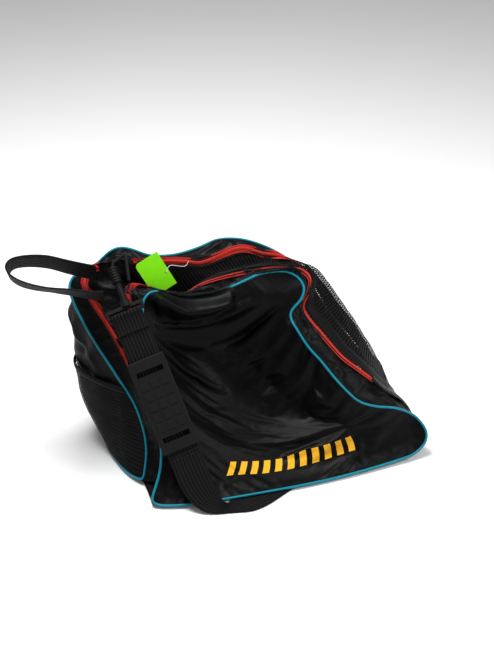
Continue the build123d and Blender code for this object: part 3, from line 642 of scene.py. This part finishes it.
def back_grid(us, vs):
    at = np.linspace(0, 1, 41)
    grid = np.zeros((len(us), len(vs), 3))

    def column(u):
        return spline([sample(LOW_B, u)] + [sample(r, u) for r in BELLY] + [sample(TOP_B, u)], 41)

    first, last = column(0.0), column(1.0)
    for i, u in enumerate(us):
        c = column(u)
        for j, v in enumerate(vs):
            p = np.array([np.interp(v, at, c[:, k]) for k in range(3)])
            a = np.array([np.interp(v, at, first[:, k]) for k in range(3)])
            b = np.array([np.interp(v, at, last[:, k]) for k in range(3)])
            near_left, near_right = max(0, 1 - 4 * u) ** 2, max(0, 4 * u - 3) ** 2
            grid[i, j] = p + (sample(LEFT_B, v) - a) * near_left + (sample(RIGHT_B, v) - b) * near_right
    return grid


us, vs = np.linspace(0, 1, 120), np.linspace(0, 1, 60)
bg = back_grid(us, vs)
bn = normals(bg)
for i, u in enumerate(us):
    for j, v in enumerate(vs):
        edge = min(1, 14 * u) * min(1, 14 * (1 - u)) * min(1, 10 * v) * min(1, 10 * (1 - v))
        d = ripple(bg[i, j], 70, 5.0, 5.5) + ripple(bg[i, j], 28, 1.6, 1.5)
        d += 6 * near_line(u, v, (0.03, 0.72), (0.14, 0.50), 0.02)
        d -= 5 * near_line(u, v, (0.10, 0.80), (0.06, 0.52), 0.02)
        bg[i, j] += bn[i, j] * d * edge * (1.0 if v > 0.46 or u > 0.53 else 0.25)
back = grid_mesh("back_panel_cloth", bg, MATS["nylon"])
relax(back, rim(120, 60), frames=16, grow=0.012, gravity=0.1, bend=0.5)
finer(back)

pg = back_grid(np.linspace(0.004, 0.52, 90), np.linspace(0.01, 0.43, 40))
pn = normals(pg)
for i in range(90):
    for j in range(40):
        pg[i, j] -= pn[i, j] * (1.6 + 1.2 * sin(pi * i / 89) + ripple(pg[i, j], 50, 1.6, 2.2))
pocket = grid_mesh("pocket_mesh_cloth", pg, MATS["pocket"])
hg = back_grid(np.linspace(0.004, 0.52, 90), np.linspace(0.425, 0.462, 7))
hn = normals(hg)
for i in range(90):
    for j in range(7):
        hg[i, j] -= hn[i, j] * (2.0 + 0.9 * sin(pi * j / 6) + 1.2 * sin(pi * i / 89))
hem = grid_mesh("pocket_hem_cloth", hg, MATS["binding"])
thick(hem, 0.9)


def zip_gap(start, end, n):
    """Half the width of zip left showing: narrower once the zips run over the top and down the right end."""
    return np.array([5.2 - 1.9 * step((s - 1.05) / 0.2) for s in np.linspace(start, end, n)])


def band(name, rows, start, end, gaps, n, across, mat, wave, seed, grow=0.03, settle=True, over=()):
    """A strip of cloth between two seams, wrinkled and settled.
    over lists stretches whose edge laps over the zip."""
    rows = part_of_run(rows, start, end, n)
    gaps = [zip_gap(start, end, n) if k is None else k for k in gaps]
    g = strip_grid(rows, gaps[0], gaps[1], across)
    for first, last, reach, lift in over:
        for i, s in enumerate(np.linspace(start, end, n)):
            w = bell(s, first, last, 0.06)
            if w > 0:
                out = unit(g[i, 0] - g[i, 2])
                up = np.cross(unit(g[min(i + 1, n - 1), 3] - g[max(i - 1, 0), 3]), out)
                up = up if up[2] - 0.5 * up[1] > 0 else -up
                for j in range(6):
                    rise = lift * sin(pi * min(1, 0.45 + 0.55 * j / 6)) * (1 if j else 0.8)
                    g[i, j] += w * (out * reach * (1 - j / 6) + up * rise)
    nn = normals(g)
    for i in range(n):
        for j in range(across):
            edge = max(0.0, sin(pi * j / (across - 1))) ** 0.6
            g[i, j] += nn[i, j] * edge * (ripple(g[i, j], 34, wave, seed)
                                          + ripple(g[i, j], 14, wave * 0.4, seed + 4))
    o = grid_mesh(name, g, mat)
    if settle:
        relax(o, rim(n, across), frames=18, grow=grow, gravity=0.3, bend=0.25)
    finer(o)
    return o


front_strip = band("front_strip_cloth", [FP, FF, FZ], 0.0, 3.0, (1.2, None), 300, 14, MATS["nylon"], 2.2, 1.0,
                   grow=0.02)
back_strip = band("back_strip_cloth", [BZ, BF, BP], 0.0, 3.0, (None, 1.2), 300, 14, MATS["nylon"], 2.0, 2.0,
                  grow=0.02, over=((0.0, 0.56, 16.0, 7.0),))
left_patch = band("left_patch_cloth", [FZ, GM, BZ], 0.0, MESH_FROM, (None, None), 110, 18, MATS["nylon"],
                  3.0, 3.0)
right_patch = band("right_patch_cloth", [FZ, GM, BZ], MESH_TO, 3.0, (None, None), 40, 20, MATS["nylon"],
                   2.5, 4.0)
gusset = band("mesh_band_cloth", [FZ, GM, BZ], MESH_FROM, MESH_TO, (None, None), 260, 24, MATS["mesh"],
              1.6, 6.0, settle=False)

# a fold of the back strip that has slid over the back zip beside the handle
n = 60
rows = part_of_run([BF, BZ, GM], 1.09, 1.27, n)
fold_grid = []
for i, (a, b, c) in enumerate(zip(*rows)):
    w = bell(i / (n - 1), 0.25, 0.75, 0.25)
    up = np.array((-0.15, -0.45, 0.88))
    fold_grid.append(spline([a - up * 1.5, a * 0.5 + b * 0.5 + up * 7 * w, b + up * (13 * w - 4),
                             b * 0.45 + c * 0.55 + up * (11 * w - 4), c * 0.8 + b * 0.2 - up * 3], 22))
fold_grid = np.array(fold_grid)
fold_normal = normals(fold_grid)
for i in range(n):
    for j in range(22):
        edge = sin(pi * i / (n - 1)) * sin(pi * j / 21)
        crumple = ripple(fold_grid[i, j], 22, 4.0, 7.7) + ripple(fold_grid[i, j], 10, 1.2, 1.1)
        fold_grid[i, j] += fold_normal[i, j] * edge * crumple
fold_cloth = grid_mesh("back_fold_cloth", fold_grid, MATS["nylon"])
finer(fold_cloth)
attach(fold_cloth, "bag")

# nylon borders that bind the mesh to both zips
for border, along_front in (("mesh_border_front", True), ("mesh_border_back", False)):
    cut = part_of_run([FZ, GM, BZ], MESH_FROM, MESH_TO, 240)
    g = strip_grid(cut, 5.5, 5.5, 24)
    g = g[:, :5] if along_front else g[:, -5:]
    g = g + normals(g) * 0.7
    o = grid_mesh(border, g, MATS["binding"])
    thick(o, 0.6)
    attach(o, "bag")

# ------------------------------------------------------------------ piping and zips
def loop_of(line):
    counts = {"left": 70, "top": 90, "right": 110, "bottom": 80}
    loop = np.vstack([spline(line[k], counts[k] + 1)[:-1] for k in ("left", "top", "right", "bottom")])
    for _ in range(3):
        loop = 0.25 * np.roll(loop, 1, 0) + 0.5 * loop + 0.25 * np.roll(loop, -1, 0)
    return loop


front_loop = loop_of(FRONT_PIPING)
for p in front_loop:
    if p[1] > 25:
        p += np.array((0, 7.5, -6.0)) * bell(p[0], -152, -62, 16)   # tucked in behind the rolled top edge
front_piping = cord_mesh("front_piping_cord", front_loop, PIPING_R, MATS["piping"], closed=True)
back_piping = cord_mesh("back_piping_cord", loop_of(BACK_PIPING), PIPING_R, MATS["piping"], closed=True)


def zip_line(rows, start, end, n):
    before, line, after = part_of_run(rows, start, end, n)
    side = after - before
    run = np.gradient(line, axis=0)
    side = np.array([unit(s - unit(r) * np.dot(s, unit(r))) for s, r in zip(side, run)])
    up = np.array([unit(np.cross(unit(r), s)) for s, r in zip(side, run)])
    return line, side, up


def ribbon(name, line, side, width, mat, lift, up, across=7, crown=0.0):
    w = np.linspace(-1, 1, across)
    g = np.array([[p + s * a * width / 2 + n * (lift + crown * (1 - a * a)) for a in w]
                  for p, s, n in zip(line, side, up)])
    return grid_mesh(name, g, mat, centre_v=True)


for which, rows, start, end in (("front", [FF, FZ, GM], 0.10, 2.62), ("back", [GM, BZ, BF], 0.10, 2.92)):
    line, side, up = zip_line(rows, start, end, 520)
    # the zips lie deeper where a flap of cloth has slid over them
    at = np.linspace(start, end, 520)
    low = [bell(s, 0.0, 0.50, 0.06) + (bell(s, 1.13, 1.20, 0.03) if which == "back" else 0.0) for s in at]
    line = line - up * ZIP_SINK * np.array(low)[:, None]
    tape = ribbon(which + "_tape_cloth", line, side, TAPE_W, MATS["tape"], -0.9, up)
    coil = ribbon(which + "_coil_teeth", line, side, COIL_W, MATS["coil"], 0.2, up, 9, 1.5)
    edge_rows = [(line + side * k * 5.0 - up * 0.5, up) for k in (-1, 1)]
    sew = stitches(which + "_zip_stitches", edge_rows, MATS["tape"], 2.6)
    for o, n in ((tape, which + "_zip_tape"), (coil, which + "_zip_coil")):
        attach(o, "bag")
        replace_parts(o, n)
    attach(sew, "bag")
line, side, up = zip_line([FF, FZ, GM], 2.61, 2.985, 60)
cover = ribbon("zip_end_cover_cloth", line, side, COVER_W, MATS["nylon"], 1.4, up, 9, 1.2)
thick(cover, 0.8)
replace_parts(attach(cover, "bag"), "zip_end_cover")

# ------------------------------------------------------------------ underside
EDGE_FRONT = [(-228, -126), (-214, -133), (-160, -144), (-20, -152), (75, -152), (170, -144), (200, -138)]
EDGE_BACK = [(-256, 30), (-244, 74), (-198, 106), (0, 114), (110, 112), (196, 108), (210, 100)]
low = spline([(x, y, 0) for x, y in EDGE_FRONT], 60)
high = spline([(x, y, 0) for x, y in EDGE_BACK], 60)


def base_point(u, v):
    p = (1 - v) * sample(low, u) + v * sample(high, u)
    p[0] += 14 * u ** 6 * sin(pi * v) + 10 * (1 - u) ** 6 * sin(pi * v)
    rise = max(step((-66 - p[1]) / 10.0), step((p[0] - 106) / 12.0))
    p[2] = 1.0 + 2.6 * rise
    return p


base_grid = [[base_point(u, v) for v in np.linspace(0, 1, 40)] for u in np.linspace(0, 1, 60)]
base = grid_mesh("base_cloth", base_grid, MATS["nylon"])
thick(base, 1.6)

# ------------------------------------------------------------------ webbing
def web(name, rows, thickness):
    """A band of webbing between pairs of edge points."""
    g = np.array([[a + (b - a) * t for t in np.linspace(0, 1, 13)] for a, b in rows])
    o = grid_mesh(name, g, MATS["webbing"])
    thick(o, thickness)
    return o


# the far leg hangs a little lower than the plain solid's
hl = spline(HANDLE_LINE[:-3] + [(-290, 98, 302), (-264, 95, 292), (-247, 93, 287)], 110)
hs = [unit(s) * HANDLE_W / 2 for s in spline(HANDLE_SIDE, 110)]
handle = web("carry_handle_web", [(p - s, p + s) for p, s in zip(hl, hs)], HANDLE_T)
D = unit(STRAP_DIR)
W = unit(np.asarray(STRAP_SIDE) - D * np.dot(STRAP_SIDE, D))
IN = np.cross(W, D)


def on_strap(y, z, x=0.0):
    return STRAP_TOP + W * x + D * y + IN * z


half = STRAP_W / 2
flat = [(on_strap(y, 0, -half), on_strap(y, 0, half)) for y in np.linspace(13.5, STRAP_RUN - 2, 70)]
outer = spline([on_strap(y, 0, -half) for y in (180, STRAP_RUN)] + STRAP_OUTER, 190)
inner = spline([on_strap(y, 0, half) for y in (180, STRAP_RUN)] + STRAP_INNER, 190)
skip = 22
strap = web("shoulder_strap_web", flat[:-16] + list(zip(smooth(outer, 3), smooth(inner, 3)))[skip:], STRAP_T)
fold = [(FOLD_L, -2.0), (16, -2.1), (7, -3.0), (2.2, -4.6), (-2.2, -4.0), (-3.6, -1.1), (-2.4, 1.5),
        (1.2, 2.5), (5.0, 1.6), (9.0, 0.5), (13.2, 0.0)]
fline = spline([(0, y, z) for y, z in fold], 60)
fold_rows = [(on_strap(y, z, -half), on_strap(y, z, half)) for _, y, z in fline]
fold_web = web("strap_fold_web", fold_rows, STRAP_T)

rows = [([on_strap(y, z, x) for x in np.linspace(-half + 2, half - 2, 20)], [-IN] * 20)
        for y, z in ((24.5, -2.9), (27.5, -2.9), (226, -0.9), (231, -0.9))]
thread = stitches("strap_stitches", rows, MATS["thread"], 3.0)
hem_rows = [(hg[:, j] - hn[:, j] * 0.6, -hn[:, j]) for j in (1, 5)]
hem_thread = stitches("hem_stitches", hem_rows, MATS["thread"])
seam_rows = []
for strip_rows, j in (([FP, FF, FZ], 0), ([FP, FF, FZ], 5), ([BZ, BF, BP], 0)):
    g = strip_grid(part_of_run(strip_rows, 0.05, 2.95, 300), 4.5, 8.2, 6)
    nn = normals(g)
    seam_rows.append((g[:, j] + nn[:, j] * 0.9, nn[:, j]))
seam_thread = stitches("seam_stitches", seam_rows, MATS["thread"], 3.6)

# D-ring tab: a short fold of webbing sewn to the left end
RING_AT = np.array((-220.0, 34.0, 203.0))
RING_OUT = unit((-0.62, -0.68, 0.38))
up0 = np.array((-0.2, 0.5, 0.84))
RING_UP = unit(up0 - RING_OUT * np.dot(up0, RING_OUT))
RING_SIDE = np.cross(RING_UP, RING_OUT)
tab = [(14, 1.2), (6, 1.0), (1.6, 0.6), (-2.2, 1.6), (-3.7, 4.2), (-2.2, 6.9), (1.6, 7.5),
       (6, 5.6), (14, 3.2)]
tline = spline([(0, y, z) for y, z in tab], 40)


def on_end(x, y, z):
    return RING_AT + RING_SIDE * x + RING_UP * y + RING_OUT * z


tab_web = web("d_ring_tab_web", [(on_end(-9, y, z), on_end(9, y, z)) for _, y, z in tline], 1.2)

# the tag's clear thread: out of the tag's hole and round the back zip
tag_up = unit((-0.40, 0.20, 0.80))
tag_side = unit(np.array((0.92, 0.03, 0.30)) - tag_up * np.dot((0.92, 0.03, 0.30), tag_up))
tag_out = np.cross(tag_up, tag_side)
tag_out = tag_out if tag_out[1] < 0 else -tag_out
hole = np.array((-146.0, 71.0, 250.5)) + tag_side * 15 + tag_up * 24
thread_line = spline([hole - tag_out * 3, hole, hole + tag_out * 2.2, hole + (8, 4, 8),
                      (-112, 84, 279), (-104, 86, 286.5)], 40)
tag_thread = cord_mesh("tag_thread", thread_line, THREAD_R, MATS["clear"], sides=8)

# ------------------------------------------------------------------ bodies, nodes and slots
for o, nodes, slot_name in (
        (front, ["front_panel"], "nylon"), (back, ["back_panel"], "nylon"), (base, ["base_panel"], "nylon"),
        (front_strip, ["front_strip"], "nylon"), (back_strip, ["back_strip"], "nylon"),
        (left_patch, ["left_end_patch"], "nylon"), (right_patch, ["right_end_patch"], "nylon"),
        (gusset, ["mesh_band"], "mesh"), (pocket, ["pocket_mesh"], "mesh"), (hem, ["pocket_hem"], "binding"),
        (front_piping, ["front_piping"], "piping"), (back_piping, ["back_piping"], "piping"),
        (strap, ["shoulder_strap"], "webbing"), (fold_web, ["strap_fold"], "webbing"),
        (tab_web, ["d_ring_tab"], "webbing"), (thread, [], "webbing"), (hem_thread, [], "binding"),
        (seam_thread, [], "nylon")):
    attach(o, "bag")
    if nodes:
        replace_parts(o, *nodes)
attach(tag_thread, "tag")
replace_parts(tag_thread, "tag_fastener")
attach(handle, "handle")
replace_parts(handle, "carry_handle")
for o, held, on, extras in (
        (front, "stretched", ["front_piping_cord"], []), (back, "stretched", ["back_piping_cord"], []),
        (base, "laid", ["back_piping_cord"], []),
        (front_strip, "stretched", ["front_piping_cord"], [seam_thread]),
        (back_strip, "stretched", ["back_piping_cord"], []),
        (left_patch, "stretched", ["back_tape_cloth"], []),
        (right_patch, "stretched", ["back_tape_cloth"], []), (gusset, "stretched", ["back_tape_cloth"], []),
        (pocket, "stretched", ["back_panel_cloth"], [hem, hem_thread]),
        (fold_cloth, "folded", ["back_strip_cloth"], []),
        (cover, "stretched", ["front_tape_cloth"], []), (handle, "hung", ["back_strip_cloth"], []),
        (strap, "laid", ["back_panel_cloth"], [thread]), (fold_web, "folded", ["shoulder_strap_web"], []),
        (tab_web, "folded", ["left_patch_cloth"], [])):
    along, across, area = CUT[o.name]
    area = min(area, across * along)

CAD_LOOKS = {"shoulder_pad": "rubber", "hook_frame": "plastic", "snap_hook": "plastic",
             "hook_gate": "plastic",
             "d_ring": "plastic", "front_slider": "metal", "front_pull": "metal", "back_slider": "metal",
             "back_pull": "metal", "front_zip_stops": "metal", "back_zip_stops": "metal", "hang_tag": "card"}
for n, look in CAD_LOOKS.items():
    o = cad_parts[n]
    for s in o.material_slots:
        s.link = "OBJECT"
        s.material = MATS[look]

# ------------------------------------------------------------------ floor, light, camera
def lamp(name, energy, at, size):
    """A round soft light turned to the bag."""
    light = bpy.data.lights.new(name, "AREA")
    light.energy, light.shape, light.size = energy, "DISK", size
    o = bpy.data.objects.new(name, light)
    o.location = at
    o.rotation_euler = (Vector((0, 0, 0.1)) - Vector(at)).to_track_quat("-Z", "Y").to_euler()
    bpy.context.scene.collection.objects.link(o)


me = bpy.data.meshes.new("floor")
me.from_pydata([(-6, -6, -0.0005), (6, -6, -0.0005), (6, 6, -0.0005), (-6, 6, -0.0005)], [], [(0, 1, 2, 3)])
floor = bpy.data.objects.new("floor", me)
bpy.context.scene.collection.objects.link(floor)
fm, ft, fb = material("floor", (0.93, 0.93, 0.93), 0.8)
me.materials.append(fm)
world = bpy.data.worlds.new("studio")
world.use_nodes = True
world.node_tree.nodes["Background"].inputs[0].default_value = (1, 1, 1, 1)
world.node_tree.nodes["Background"].inputs[1].default_value = 0.32
bpy.context.scene.world = world
lamp("key", 42, (-0.35, 0.35, 1.9), 0.9)
lamp("side", 16, (1.2, -0.9, 1.3), 0.7)
bpy.context.scene.view_settings.view_transform = "Standard"

cam = bpy.data.cameras.new("camera")
cam.lens, cam.sensor_width, cam.sensor_fit = 60.1, 36.0, "AUTO"
cam.clip_start = 0.05
co = bpy.data.objects.new("camera", cam)
az, el = radians(-18.0), radians(33.0)
back_dir = Vector((sin(az) * cos(el), -cos(az) * cos(el), sin(el)))
co.location = (-0.4763, -1.3494, 1.1211)
co.rotation_euler = (-back_dir).to_track_quat("-Z", "Y").to_euler()
bpy.context.scene.collection.objects.link(co)
bpy.context.scene.camera = co
